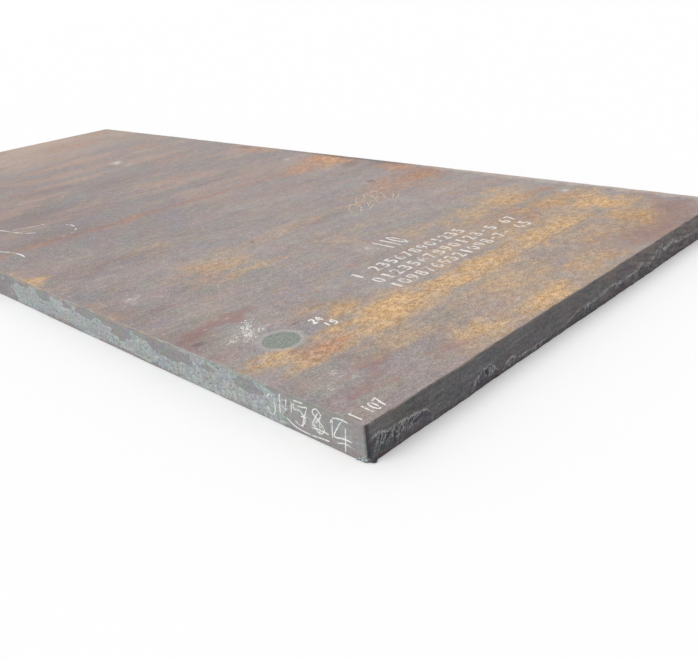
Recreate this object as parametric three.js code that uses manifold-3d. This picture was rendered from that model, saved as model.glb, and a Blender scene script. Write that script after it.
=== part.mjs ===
// A heavy hot-rolled steel plate, flame-cut to size on all four sides and lying flat.
// Millimetres, +Z up. The origin is the centre of the underside; X runs across the plate and
// Y along it. The two rolled faces are flat. The edges are what a cutting torch leaves: a melted
// upper edge, a face that wanders a little, a drag that makes the foot trail behind the top,
// and a lip of dross along the foot of the freshly cut ends.
import * as THREE from "three";
import { mergeVertices } from "three/addons/utils/BufferGeometryUtils.js";
import Module from "manifold-3d";

const wasm = await Module();
wasm.setup();

// Driving dimensions
const WIDTH = 2200;
const LENGTH = 5000;
const THICKNESS = 110;

// What the torch leaves on the ends, which are cut fast, and on the long sides, which are cut with care.
const END_CUT = {
  topRadius: 3.5,
  footRadius: 1.2,
  hollow: 1.1,
  lip: 1.8,
  lipHeight: 7,
  drag: 34,
  grooveDepth: 0.7,
  groovePitch: 71,
  waves: [
    { pitch: 1130, size: 0.9, phase: 0.4 },
    { pitch: 387, size: 0.7, phase: 2.1 },
    { pitch: 163, size: 0.4, phase: 4.4 },
  ],
  station: 26,
};
const SIDE_CUT = {
  topRadius: 2.6,
  footRadius: 2.4,
  hollow: 0.5,
  lip: 0.4,
  lipHeight: 9,
  drag: 20,
  grooveDepth: 0.3,
  groovePitch: 233,
  waves: [
    { pitch: 1870, size: 1.0, phase: 1.3 },
    { pitch: 610, size: 0.5, phase: 3.7 },
  ],
  station: 62,
};

// Heights of the rings of points that the edges are lofted through, close together at the rounded edges.
const UPPER_STEPS = [0, 0.8, 2.2, 4.5].map((down) => THICKNESS - down);
const MIDDLE_STEPS = [0.88, 0.63, 0.38, 0.18].map((share) => share * THICKNESS);
const FOOT_STEPS = [7, 2.4, 0.8, 0];
const HEIGHTS = [...UPPER_STEPS, ...MIDDLE_STEPS, ...FOOT_STEPS].reverse();

// The corners are cut square, with a narrow facet. At the near left corner the torch ran out of
// the plate, so there the facet widens downwards as the cut lagged behind.
const CORNER_FACET = 2.5;
const LAG_FACET = 13;

// The slag that ran down the near left corner and set on its foot.
const SLAG = { along: 17, radius: 8.5, reach: 0.75, height: 0.95 };

// The flat inner panel of each rolled face, which keeps the triangles there large and plain.
const PANEL_INSET = 160;
const PANEL_PITCH = 560;

const corner = (x, y) => new THREE.Vector2((x * WIDTH) / 2, (y * LENGTH) / 2);
const NEAR_LEFT = { at: corner(-1, -1), foot: LAG_FACET };
const NEAR_RIGHT = { at: corner(1, -1), foot: CORNER_FACET };
const FAR_RIGHT = { at: corner(1, 1), foot: CORNER_FACET };
const FAR_LEFT = { at: corner(-1, 1), foot: CORNER_FACET };

// One edge of the plate, running anticlockwise as seen from above.
function edge(start, end, cut) {
  const run = end.at.clone().sub(start.at);
  const along = run.clone().normalize();
  return { start, end, cut, length: run.length(), along, out: new THREE.Vector2(along.y, -along.x) };
}

const EDGES = [
  edge(NEAR_LEFT, NEAR_RIGHT, END_CUT),
  edge(NEAR_RIGHT, FAR_RIGHT, SIDE_CUT),
  edge(FAR_RIGHT, FAR_LEFT, END_CUT),
  edge(FAR_LEFT, NEAR_LEFT, SIDE_CUT),
];

// How far a rounded edge stands back, at this distance from the face that it rounds into.
function rounding(distance, radius) {
  const short = Math.max(0, 1 - distance / radius);
  return radius * (1 - Math.sqrt(1 - short * short));
}

// How far out from its nominal face a cut lies, at a place along it and a height.
function outset(cut, place, height) {
  const depth = (THICKNESS - height) / THICKNESS;
  const rounded = rounding(THICKNESS - height, cut.topRadius) + rounding(height, cut.footRadius);
  const hollow = cut.hollow * Math.sin(Math.PI * depth);
  const lip = cut.lip * Math.exp(-((height / cut.lipHeight) ** 2));
  const wave = ({ pitch, size, phase }) => size * Math.sin((2 * Math.PI * place) / pitch + phase);
  const wander = cut.waves.map(wave).reduce((sum, part) => sum + part, 0);
  const lag = cut.drag * depth ** 2;
  const grooves = cut.grooveDepth * depth * Math.sin((2 * Math.PI * (place + lag)) / cut.groovePitch);
  return lip - rounded - hollow + wander + grooves;
}

// Width of the facet at a corner: narrow at the top, and at the foot as wide as the corner says.
function facet(cornerOf, height) {
  const depth = (THICKNESS - height) / THICKNESS;
  return CORNER_FACET + (cornerOf.foot - CORNER_FACET) * depth ** 1.5;
}

// The points of one edge at a height, from where the edge before it ends to where the next begins.
function edgePoints(index, height) {
  const { start, end, cut, length, along, out } = EDGES[index];
  const before = EDGES[(index + 3) % 4];
  const after = EDGES[(index + 1) % 4];
  const from = facet(start, height) - outset(before.cut, before.length, height);
  const to = length - facet(end, height) + outset(after.cut, 0, height);
  const spans = Math.round(length / cut.station);
  return Array.from({ length: spans + 1 }, (_, i) => {
    const place = from + ((to - from) * i) / spans;
    const point = start.at.clone().addScaledVector(along, place);
    return point.addScaledVector(out, outset(cut, place, height));
  });
}

function ring(height) {
  return EDGES.flatMap((_, index) => edgePoints(index, height));
}

// The outline of the inner panel, clockwise, as a hole in the border round it.
function panelOutline() {
  const outline = EDGES.flatMap(({ start, end }) => {
    const inset = (c) => c.at.clone().sub(new THREE.Vector2(Math.sign(c.at.x), Math.sign(c.at.y))
      .multiplyScalar(PANEL_INSET));
    const from = inset(start);
    const to = inset(end);
    const spans = Math.round(from.distanceTo(to) / PANEL_PITCH);
    return Array.from({ length: spans }, (_, i) => from.clone().lerp(to, i / spans));
  });
  return outline.reverse();
}

// Joins the rings into walls and closes them with a flat face at each end.
function loft(heights) {
  const rings = heights.map(ring);
  const panel = panelOutline();
  const count = rings[0].length;
  const positions = [];
  const triangles = [];
  rings.forEach((points, level) => points.forEach((p) => positions.push(p.x, p.y, heights[level])));

  for (let level = 0; level + 1 < rings.length; level++) {
    for (let i = 0; i < count; i++) {
      const here = level * count + i;
      const next = level * count + ((i + 1) % count);
      triangles.push(here, next, next + count, here, next + count, here + count);
    }
  }

  const close = (points, height, firstOfRing, facesUp) => {
    const firstOfPanel = positions.length / 3;
    panel.forEach((p) => positions.push(p.x, p.y, height));
    const border = THREE.ShapeUtils.triangulateShape(points, [panel]);
    const inside = THREE.ShapeUtils.triangulateShape([...panel].reverse(), []);
    const onBorder = (i) => (i < count ? firstOfRing + i : firstOfPanel + i - count);
    const onPanel = (i) => firstOfPanel + panel.length - 1 - i;
    const faces = [...border.map((f) => f.map(onBorder)), ...inside.map((f) => f.map(onPanel))];
    faces.forEach(([a, b, c]) => triangles.push(a, ...(facesUp ? [b, c] : [c, b])));
  };
  const top = rings.length - 1;
  close(rings[0], heights[0], 0, false);
  close(rings[top], heights[top], top * count, true);

  const geometry = new THREE.BufferGeometry();
  geometry.setAttribute("position", new THREE.Float32BufferAttribute(positions, 3));
  geometry.setIndex(triangles);
  return geometry;
}

// A bead of slag set on the foot of the near end, its lowest point level with the underside.
function slagBead() {
  const bead = new THREE.SphereGeometry(SLAG.radius, 14, 10);
  bead.scale(1, SLAG.reach, SLAG.height);
  bead.rotateX(Math.PI / 12);
  bead.computeBoundingBox();
  return bead.translate(NEAR_LEFT.at.x + SLAG.along, NEAR_LEFT.at.y, 0.2 - bead.boundingBox.min.z);
}

function solidOf(geometry) {
  geometry.deleteAttribute("normal");
  geometry.deleteAttribute("uv");
  const merged = mergeVertices(geometry, 1e-3);
  return new wasm.Manifold(new wasm.Mesh({
    numProp: 3,
    vertProperties: new Float32Array(merged.attributes.position.array),
    triVerts: new Uint32Array(merged.index.array),
  }));
}

function geometryOf(solid) {
  const { vertProperties, triVerts } = solid.getMesh();
  const geometry = new THREE.BufferGeometry();
  geometry.setAttribute("position", new THREE.BufferAttribute(vertProperties, 3));
  geometry.setIndex(new THREE.BufferAttribute(triVerts, 1));
  geometry.computeVertexNormals();
  return geometry;
}

const millScale = new THREE.MeshStandardMaterial({ color: 0x948a86, roughness: 0.78, metalness: 0.35 });
const plate = new THREE.Mesh(geometryOf(solidOf(loft(HEIGHTS)).add(solidOf(slagBead()))), millScale);
plate.name = "plate";

const steelPlate = new THREE.Group();
steelPlate.add(plate);

export default steelPlate;
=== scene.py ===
"""A heavy hot-rolled steel plate, flame-cut to size, lying flat on a pale floor.

Metres, +Z up, the origin at the centre of the underside. X runs across the plate and Y along it.
The plate is lofted ring by ring, pressed onto the frame's surface and then roughened: drag marks
on the flame-cut ends and flaking scale on the long sides. Paint and chalk are thin worn films.
"""
import math
import random

import bmesh
import bpy
from bmesh.types import BMEdge, BMVert
from mathutils import Matrix, Vector, noise
from mathutils.bvhtree import BVHTree


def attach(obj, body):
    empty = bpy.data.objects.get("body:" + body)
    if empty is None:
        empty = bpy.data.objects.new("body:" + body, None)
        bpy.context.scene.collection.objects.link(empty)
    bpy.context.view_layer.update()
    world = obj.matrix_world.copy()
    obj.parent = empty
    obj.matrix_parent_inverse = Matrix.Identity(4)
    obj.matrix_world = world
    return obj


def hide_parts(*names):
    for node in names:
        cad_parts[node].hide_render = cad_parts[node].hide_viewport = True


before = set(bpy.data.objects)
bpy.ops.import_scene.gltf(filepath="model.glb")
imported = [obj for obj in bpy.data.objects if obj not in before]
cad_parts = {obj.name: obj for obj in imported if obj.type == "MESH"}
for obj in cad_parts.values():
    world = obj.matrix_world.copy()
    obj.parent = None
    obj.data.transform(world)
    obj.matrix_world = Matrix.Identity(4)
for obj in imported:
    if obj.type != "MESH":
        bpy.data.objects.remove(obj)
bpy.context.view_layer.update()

MM = 0.001
CM = 0.01
UP = Vector((0, 0, 1))

# The nominal plate, and how far inside it the blank is drawn before it is pressed outwards.
HALF_WIDTH = 1.1
HALF_LENGTH = 2.5
THICKNESS = 0.11
BLANK_INSET = 6 * MM
BLANK_HALF_WIDTH = HALF_WIDTH - BLANK_INSET
BLANK_HALF_LENGTH = HALF_LENGTH - BLANK_INSET

# How far off a ray starts, how far it keeps from the rolled faces, how near counts as on a side,
# and how near as one point.
CAST = 30 * MM
FACE_MARGIN = 0.02 * MM
ON_SIDE = 0.1 * MM
SAME = 0.01 * MM

# Steps along the edges: the near end and the left side carry the finer work.
GRID = (22, 50)
FINE_CUTS = 19
PLAIN_CUTS = 9

# Heights of the rings, close together at the rounded edges.
TOP_RINGS_MM = (0, 0.5, 1.3, 2.4, 4.0)
FOOT_RINGS_MM = (3.0, 1.5, 0.6, 0)
MIDDLE_RINGS = 18
LAST_RING = len(TOP_RINGS_MM) + MIDDLE_RINGS + len(FOOT_RINGS_MM) - 1

# The bake sheet and the gaps in it, in pixels, the margin at its ends as a share, and half the width
# and length of plate that it has room for. Then each face's finish and the width of its column.
SHEET = 1024
SHEET_GAP = 5
SHEET_MARGIN = 0.004
SHEET_HALF = (1.103, 2.508)
FACES = {
    "top": (0, 640), "foot": (0, 180), "left": (2, 60),
    "near": (1, 60), "right": (2, 24), "far": (1, 24),
}

NEAR = Vector((0, -1, 0))
FAR = Vector((0, 1, 0))
LEFT = Vector((-1, 0, 0))
RIGHT = Vector((1, 0, 0))


# ------------ shader sums


def tone(colour):
    """A colour given as 0xRRGGBB, made linear."""
    parts = [part / 255 for part in colour.to_bytes(3, "big")]
    linear = [p / 12.92 if p <= 0.04045 else ((p + 0.055) / 1.055) ** 2.4 for p in parts]
    return (*linear, 1.0)


def set_stops(elements, stops):
    """Gives a new ramp its stops: each is a place, and a tone or a finished colour."""
    for element, (place, _) in zip(elements, (stops[0], stops[-1])):
        element.position = place
    for place, _ in stops[1:-1]:
        elements.new(place)
    for element, (_, colour) in zip(elements, stops):
        element.color = tone(colour) if isinstance(colour, int) else colour


def sums(operation, swapped=False):
    """An operator of Value: one Math node, on the value and the other, or the other first."""

    def operator(value, other=0.0):
        pair = (other, value) if swapped else (value, other)
        return value.finish.node("Math", dict(enumerate(pair)), operation=operation)

    return operator


class Value:
    """A socket that takes part in sums."""

    def __init__(self, finish, socket):
        self.finish = finish
        self.socket = socket

    __add__ = sums("ADD")
    __radd__ = sums("ADD", swapped=True)
    __sub__ = sums("SUBTRACT")
    __rsub__ = sums("SUBTRACT", swapped=True)
    __mul__ = sums("MULTIPLY")
    __rmul__ = sums("MULTIPLY", swapped=True)
    __truediv__ = sums("DIVIDE")
    __abs__ = sums("ABSOLUTE")
    over = sums("MAXIMUM")

    def rise(self, low, high):
        """Smooth from nought at low to one at high, which may be the smaller of the two."""
        if low > high:
            return 1 - self.rise(high, low)
        inputs = {"Value": self, "From Min": low, "From Max": high}
        return self.finish.node("MapRange", inputs, interpolation_type="SMOOTHSTEP")


class Finish:
    """A material being made: its nodes, patterns and colours."""

    def __init__(self, name):
        self.material = bpy.data.materials.new(name)
        self.material.use_nodes = True
        self.tree = self.material.node_tree
        self.tree.nodes.clear()
        self.place = self.node("TexCoord", output="Object")
        self.x, self.y, self.z = (self.node("SeparateXYZ", {0: self.place}, axis) for axis in "XYZ")

    def node(self, kind, inputs=None, output=0, stops=(), **settings):
        """Every node is made here, its settings or a ramp's stops first. An input is a Value, a
        constant, or None to leave it as it is."""
        made = self.tree.nodes.new("ShaderNode" + kind)
        for name, value in settings.items():
            setattr(made, name, value)
        if stops:
            set_stops(made.color_ramp.elements, stops)
        for name, value in (inputs or {}).items():
            if isinstance(value, Value):
                self.tree.links.new(value.socket, made.inputs[name])
            elif value is not None:
                made.inputs[name].default_value = value
        return None if output is None else Value(self, made.outputs[output])

    def join(self, x, y, z):
        return self.node("CombineXYZ", {0: x, 1: y, 2: z})

    def vectors(self, operation, *parts):
        return self.node("VectorMath", dict(enumerate(parts)), operation=operation)

    def mix(self, share, first, second, blend="MIX"):
        """The second colour over the first, by share."""
        sockets = {0: share, 6: first, 7: second}
        return self.node("Mix", sockets, 2, data_type="RGBA", blend_type=blend, clamp_factor=True)

    def between_tones(self, share, first, second):
        return self.mix(share, tone(first), tone(second))

    def washed(self, steel, *washes):
        """Colours laid over one another: each is a pattern, the values where it starts to show and
        shows fully, its strength there, and its tone."""
        for pattern, low, high, strength, colour in washes:
            steel = self.mix(pattern.rise(low, high) * strength, steel, tone(colour))
        return steel

    def ramp(self, value, *stops):
        """A colour that changes with value, from the tones at a few places."""
        return self.node("ValToRGB", {"Fac": value}, stops=stops)

    def heights(self, value, table):
        """A number that changes with value, from a table of places and numbers."""
        return self.ramp(value, *((place, (number, number, number, 1)) for place, number in table))

    def grain(self, stretch, detail=4, roughness=0.7, vector=None, output="Fac"):
        """Cloudy noise. Stretch is how many clouds there are to a metre along X, Y and Z."""
        stretched = self.vectors("MULTIPLY", vector or self.place, stretch)
        inputs = {"Vector": stretched, "Scale": 1.0, "Detail": detail, "Roughness": roughness}
        return self.node("TexNoise", inputs, output)

    def tinted(self, colour, stretch, strength):
        """The colour with its hue wandering a little, cloud by cloud."""
        hues = self.grain(stretch, 2.0, 0.5, output="Color")
        return self.mix(strength, colour, hues, "LINEAR_LIGHT")

    def shifted(self, size, stretch, detail):
        """The object's place, pushed about by up to size."""
        push = self.grain(stretch, detail, 0.6, output="Color")
        centred = self.vectors("SUBTRACT", push, (0.5, 0.5, 0.5))
        return self.vectors("MULTIPLY_ADD", centred, size, self.place)

    def patch(self, place, centre, half, core, turn=0.0):
        """One soft-edged oval: one in its core, and nought outside."""
        inputs = {"Vector": place, "Location": centre, "Rotation": (0, 0, math.radians(turn)), "Scale": half}
        local = self.node("Mapping", inputs, vector_type="TEXTURE")
        depth = self.node("TexGradient", {"Vector": local}, "Fac", gradient_type="SPHERICAL")
        return depth.rise(0.0, 1.0 - core)

    def patches(self, place, rows, core=0.0):
        """The ovals of a table like those below, the strongest showing where they overlap."""
        total = None
        for x, y, half_x, half_y, strength, *turn in rows:
            half = (half_x * CM, half_y * CM, DEEP)
            one = self.patch(place, (x * CM, y * CM, 0), half, core, *turn) * (strength / 100)
            total = one if total is None else total.over(one)
        return total

    def bump(self, height, distance, strength, normal=None):
        inputs = {"Height": height, "Distance": distance, "Strength": strength, "Normal": normal}
        return self.node("Bump", inputs)

    def surface(self, colour, roughness, normal=None, metallic=0.0, specular=0.5):
        inputs = {"Base Color": colour, "Roughness": roughness, "Normal": normal, "Metallic": metallic}
        inputs["Specular IOR Level"] = specular
        self.node("OutputMaterial", {"Surface": self.node("BsdfPrincipled", inputs)}, None)
        return self.material


# ------------ finishes


# How deep an oval reaches, so that it is flat however thick the plate is.
DEEP = 9.0

# Ovals of rust and stain on the upper face, with one painted shadow line among the dark ones: x, y, half
# width and half length in centimetres, strength in hundredths, and the turn in degrees of those that are
# turned.
OCHRE = (
    (50, -202, 100, 72, 66), (-97.5, -206.5, 16, 7, 105, -28), (-80, -215, 15, 7, 100),
    (15, -240, 38, 20, 84), (78, -156, 36, 11, 60), (28, -166, 15, 10, 62), (60, -186, 24, 12, 85),
    (-89, -212, 20, 9, 110), (-70, -205, 26, 13, 95), (-66, -215, 26, 10, 100), (-50, -207, 34, 15, 140),
    (-62, -192, 18, 17, 95, -20), (-70, -182, 20, 12, 55), (-8, -196, 28, 8, 70),
    (-12, -211, 62, 16, 125), (40, -210, 66, 17, 110), (86, -207, 22, 28, 145),
    (72, -230, 36, 22, 110, 15), (72, -170, 38, 22, 100, 10), (46, -170, 36, 17, 75, 10),
    (76, -192, 32, 20, 100), (96, -200, 13, 30, 85), (13, -162, 22, 20, 62), (2, -188, 32, 16, 55),
    (-8, -142, 14, 26, 45), (-56, -120, 32, 24, 72, 25), (-52, -136, 36, 10, 66), (10, -138, 44, 9, 38),
    (35, -113, 60, 10, 40), (-10, -111, 60, 12, 50, 3), (-50, -241, 24, 16, 95), (-20, -245, 38, 15, 125),
    (-20, -236, 32, 10, 70), (28, -246, 32, 10, 60), (45, -226, 80, 28, 74), (-12, -226, 60, 26, 80),
    (45, -191, 42, 16, 68), (-50, -200, 38, 9, 80), (-15, -221, 42, 10, 60), (-66, -224, 30, 13, 75),
    (-109, -66, 9, 36, 100), (-110, -122, 6, 30, 50), (-58, -78, 28, 18, 42, 10), (-45, -172, 40, 24, 34),
    (86, -24, 20, 12, 60, -20), (92, -34, 22, 12, 90, 20), (106, 40, 10, 40, 60), (10, 33, 34, 18, 42),
    (55, 5, 40, 10, 28),
)
ORANGE = (
    (-84, -210.5, 17, 9.5, 125, -6), (-75.5, -212.5, 4, 3.5, 170), (100, -27, 22, 30, 150),
    (78, -27, 40, 20, 100, 5), (95, -102, 28, 22, 105), (100, -80, 20, 30, 100, -15),
    (72, -102, 50, 28, 80), (56, -245, 60, 16, 42), (52, -193, 42, 12, 34), (90, -175, 30, 14, 45),
    (100, 45, 14, 30, 70), (75, 142, 25, 12, 60), (-65, -125, 26, 18, 45, 30), (28, 30, 42, 20, 42),
    (60, 80, 40, 30, 34), (-44, 75, 26, 14, 48), (52, 210, 62, 40, 62, 12), (95, 236, 40, 30, 55),
    (-35, 230, 50, 22, 50, 8), (-90, 205, 30, 30, 50, -10), (5, 140, 80, 14, 44), (70, -140, 70, 20, 36),
    (20, -55, 110, 8, 30),
)
RUDDY = (
    (-92, -169, 30, 8, 130), (88, -237, 34, 15, 130), (102, -220, 16, 30, 80), (78, -193, 40, 8, 75),
    (-99, -236, 26, 12, 60), (-85, -227, 18, 9, 90), (88, -174, 26, 6, 90), (45, -178, 60, 7, 45),
    (85, -102, 40, 24, 60), (20, -236, 95, 6, 55), (-62, -240, 16, 8, 80), (62, -243, 55, 13, 135),
    (50, -180, 32, 8, 80), (85, 96, 25, 7, 80), (80, -222, 25, 12, 50), (-40, -180, 80, 20, 35),
    (-45, -25, 80, 8, 85), (-80, -220, 40, 10, 45), (65, 86, 30, 5, 80), (-45, 86, 30, 5, 70),
    (105, 50, 10, 30, 80),
)
SHADE = (
    (-60, 30, 55, 45, 100), (-70, -15, 40, 16, 90), (2, 55, 36, 20, 80), (-30, 80, 40, 16, 80),
    (-45, 115, 60, 20, 80), (-105, -125, 24, 70, 80), (-75, -80, 40, 20, 70), (106, -66, 14, 20, 100),
    (10, -116, 40, 12, 80), (66, -236, 60, 26, 120), (62, -186, 55, 22, 90), (-55, 190, 45, 22, 90, 8),
    (-5, 242, 36, 12, 80), (-107, -174, 14, 24, 120), (-60, -186, 22, 14, 80), (100, -98, 34, 20, 90),
)
# The long row at the right edge (108.5, -35) is a painted shadow line along that edge; the rest are dark
# spots.
DARK = (
    (70.6, -87, 3.4, 4, 100), (-29.5, -110, 2.6, 1.4, 100, 20), (13.6, 85, 3.5, 2.5, 80),
    (104, 58, 4, 8, 90), (108.5, -35, 5, 70, 90), (96, -48, 14, 7, 70, 20), (-105, -176, 3.5, 2.2, 80),
    (-78, -190, 1.4, 1.4, 100),
)
PALE = (
    (36.6, 109, 3.5, 3, 200), (36.8, 110, 10, 7, 105, 30), (34, 106, 5, 9, 90), (36.2, 95, 9, 5, 95, 25),
    (89, -1, 8, 5, 90, 20), (96, -184, 5, 5, 80), (-91, -182, 12, 12, 62, 20), (-11, -160, 6, 9, 85),
    (20, -124, 6, 9, 50), (-97, -125, 13, 22, 54, 30), (-96, -227, 13, 10, 75), (-80, -157, 8, 8, 45),
)
PAINT_SPOT = (-0.885, -1.955, THICKNESS)
PAINT_SPOT_RADIUS = 0.064
HALO = 1.35
RUSTY_LINE_Y = -0.25
SCRATCH_Y = -2.15


def mill_scale(f):
    """The steel itself: warm and cool greys clouded along the grain, with a painted sheen that makes it
    lighter and browner far off, where the light glances off it.
    """
    steel = f.ramp(
        f.clouds * 0.2 + f.bands * 0.25 + f.mottle * 0.3 + f.streaks * 0.25,
        (0.42, 0x8A817F), (0.5, 0x9B908D), (0.58, 0xABA09D),
    )
    blush = f.grain((2.7, 4.3, 2), 4, 0.65)
    away = f.y.rise(-0.9, 0.6)
    steel = f.washed(
        steel,
        (blush, 0.5, 0.66, 0.6, 0xA89188),
        (blush, 0.48, 0.34, 0.65, 0x919096),
        # Painted sheen: lighter and browner towards the far end, where the light glances off the plate.
        (f.y, 0.0, 2.4, 0.62, 0xB49C8D),
        (f.y, -1.4, 0.0, 0.27, 0x685054),
        (f.bands, 0.5, 0.62, away * 0.52, 0xBC9A88),
        (f.bands, 0.5, 0.38, away * 0.5, 0x8A888C),
    )
    # More painted sheen at the far end, paler still and broken up by the clouds.
    far_sheen = f.y + (f.clouds - 0.5) * 2.4 + (f.mottle - 0.5) * 0.9
    steel = f.washed(
        steel,
        # The first of these washes is that painted sheen towards the far end.
        (far_sheen, 1.3, 2.6, 0.42, 0xCEB6A0),
        (f.blots, 0.5, 0.66, 0.24, 0xB8AEA9),
        (f.blots, 0.5, 0.34, 0.26, 0x7A716F),
        (f.flecks, 0.49, 0.64, 0.48, 0xC0B9B5),
        (f.flecks, 0.51, 0.36, 0.53, 0x716966),
    )
    return f.tinted(steel, (9, 14, 9), 0.034)


def rust_layer(f, amount, steel, thin, full):
    """Rust of one kind: a thin stain, and full colour in specks where there is more."""
    stain = (amount + (f.rough - 0.5) * 1.5).rise(0.0, 0.95) * f.upper
    light = (f.flecks * 0.65 + f.blots * 0.35).rise(0.42, 0.58)
    steel = f.mix(stain * 0.8, steel, f.between_tones(light, *thin))
    crust = (amount + (f.rough - 0.5) * (amount * 1.7 + 0.8)).rise(0.4, 1.5) * f.upper
    return f.mix(crust * 0.8, steel, f.between_tones(light, *full)), crust


def rusted(f, steel):
    """Ruddy stains, orange and ochre rust, and the long rusty line across the plate."""
    ruddy = f.patches(f.warped, RUDDY) + (f.rough - 0.5) * 4.0
    steel = f.washed(steel, (ruddy, 0.3, 1.1, f.upper * 0.6, 0x926E6C))

    beside = f.y - RUSTY_LINE_Y + (f.clouds - 0.5) * 0.2
    line = abs(beside).rise(0.14, 0.0) * f.x.rise(0.95, 0.6)
    line = line * (f.streaks * 1.2 + f.mottle * 1.2 - 0.78)
    seam = abs(beside + (f.mottle - 0.5) * 0.06)
    shown = f.x.rise(0.55, 0.25) * (f.streaks * 1.6 - 0.2) * f.upper
    steel = f.washed(steel, (seam, 0.03, 0.004, shown * 0.75, 0x926A5E))

    below = f.y.rise(-2.145, -2.157) * f.x.rise(-0.45, -0.25) * f.x.rise(0.8, 0.6)
    ochre = f.patches(f.warped, OCHRE) * (1 - below * 0.12)
    thin = (0xA3886B, 0xCEB295)
    full = (0xAC8452, 0xF8D09E)
    steel, ochre = rust_layer(f, ochre, steel, thin, full)

    orange = f.patches(f.warped, ORANGE).over(line)
    thin = (0x967767, 0xBA9888)
    full = (0xAA7D59, 0xEABD99)
    steel, orange = rust_layer(f, orange, steel, thin, full)

    shade = f.patches(f.warped, SHADE) * f.upper
    return f.mix(shade * 0.32, steel, tone(0xBEACAC), "MULTIPLY"), orange.over(ochre)


def marked(f, steel):
    """A scratch across the plate, dark spots and a painted shadow line along the right edge, pale overspray,
    a painted highlight along the right edge, and the green paint spot.
    """
    scar = abs(f.y - SCRATCH_Y + (f.clouds - 0.5) * 0.03).rise(0.006, 0.001)
    scar = scar * f.x.rise(-0.8, 0.0) * f.blots.rise(0.4, 0.55) * 0.55
    # The dark spots include a painted shadow line along the right edge.
    dark = f.patches(f.nudged, DARK, 0.2) * (0.4 + f.flecks)
    steel = f.mix(dark.over(scar) * f.upper * 0.62, steel, tone(0x544A48))

    crumbs = f.mottle * 0.4 + f.blots * 0.25 + f.flecks * 0.35
    pale = f.patches(f.nudged, PALE) * f.upper
    steel = f.mix(pale * 0.24, steel, tone(0xCEC7C3))
    overspray = pale + (crumbs - 0.5) * 8.0
    steel = f.washed(steel, (overspray, 0.75, 1.15, 0.75, 0xDED7D3))

    # Painted highlight: a pale band along the rounded right edge of the upper face, towards the near end.
    strip = f.x + (f.mottle - 0.5) * 0.16
    shown = f.y.rise(-0.7, -1.2) * f.upper
    steel = f.washed(steel, (strip, 1.03, 1.08, shown * 0.42, 0xCCBCAE))

    ragged = f.shifted((0.02, 0.02, 0), (60, 60, 0), 3)
    reach = (PAINT_SPOT_RADIUS, PAINT_SPOT_RADIUS, 1)
    spot = f.patch(ragged, PAINT_SPOT, reach, 0.88) * f.upper
    halo = f.patch(ragged, PAINT_SPOT, tuple(r * HALO for r in reach), 0.75) * f.upper
    steel = f.mix(halo * (0.25 + f.flecks * 0.5), steel, tone(0xBCB8B4))
    green = f.between_tones(f.flecks.rise(0.32, 0.68), 0x68766C, 0x9A9D95)
    return f.mix(spot * 0.92, steel, green)


def rolled_face():
    """The broad faces: grey mill scale, and on the upper one rust, stains and paint, with painted sheen far
    off and a painted highlight and shadow along the right edge.
    """
    f = Finish("rolled_face")
    f.upper = f.z.rise(0.05, 0.06)
    f.clouds = f.grain((1.6, 3.1, 2), 4, 0.6)
    f.bands = f.grain((1.3, 5.6, 2), 3.5, 0.6)
    f.mottle = f.grain((11, 17, 9), 6, 0.72)
    f.streaks = f.grain((7, 100, 10), 5, 0.72)
    f.blots = f.grain((30, 44, 20))
    f.flecks = f.grain((150, 210, 60), 3, 0.8)
    f.soft = f.grain((19, 26, 15), 2.5, 0.55)
    f.rough = f.grain((9, 14, 9), 3, 0.6) * 0.5 + f.soft * 0.45 + f.flecks * 0.05
    f.warped = f.shifted((0.34, 0.2, 0), (5, 8, 0), 5)
    f.nudged = f.shifted((0.05, 0.05, 0), (24, 30, 0), 4)
    steel, rust = rusted(f, mill_scale(f))
    steel = marked(f, steel)
    roughness = 0.58 + rust * 0.3 + (f.streaks - 0.5) * 0.25
    height = f.flecks * 0.6 + f.mottle * 0.4 + f.streaks * 0.5
    return f.surface(steel, roughness, f.bump(height, 1.4 * MM, 0.7), metallic=0.1, specular=0.35)


def shares(*rows):
    """Places in thousandths and numbers in hundredths, as shares of one."""
    return [(place / 1000, number / 100) for place, number in rows]


# Where the torch's clean upper band gives way to the rough lower one: place across and height.
BREAK_LINE = shares(
    (0, 52), (20, 66), (34, 53), (85, 50), (106, 42), (118, 18), (160, 8), (196, 10), (204, 32),
    (225, 46), (238, 52), (254, 20), (267, 8), (278, 24), (290, 26), (300, 14), (360, 14), (430, 16),
    (460, 33), (520, 31), (558, 45), (600, 33), (645, 36), (670, 46), (696, 27), (722, 56), (742, 65),
    (758, 44), (783, 57), (812, 44), (900, 30), (1000, 25),
)
# How plainly the line between the two bands shows, across the end.
LINE_STRENGTH = shares(
    (0, 0), (18, 100), (104, 90), (116, 10), (190, 10), (202, 100), (245, 90), (258, 20), (272, 90),
    (365, 80), (385, 30), (440, 40), (470, 80), (660, 80), (690, 60), (710, 100), (800, 100), (850, 50),
    (1000, 20),
)
# The torn places in the rough band: ovals like those of the rust, along X and up.
GOUGES = (
    (-104.5, 5.2, 3.6, 3, 100), (-96, 4.2, 12, 3.6, 72), (-64.5, 3.4, 3, 3.4, 75),
    (-58, 3.6, 4.5, 3.6, 75), (-48.5, 1.8, 4, 2, 60), (2, 2.8, 16, 2.2, 35), (30, 3.6, 16, 3, 45),
    (52, 5, 8, 3.2, 55), (66, 4, 10, 3, 45),
)
# How far a drag mark trails behind the torch at the foot.
DRAG = 0.034


def slanted(f, lean, climb):
    """The place, leaning back as it rises and climbing to the right."""
    return f.join(f.x - f.z * lean, f.y, f.z + f.x * climb)


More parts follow.
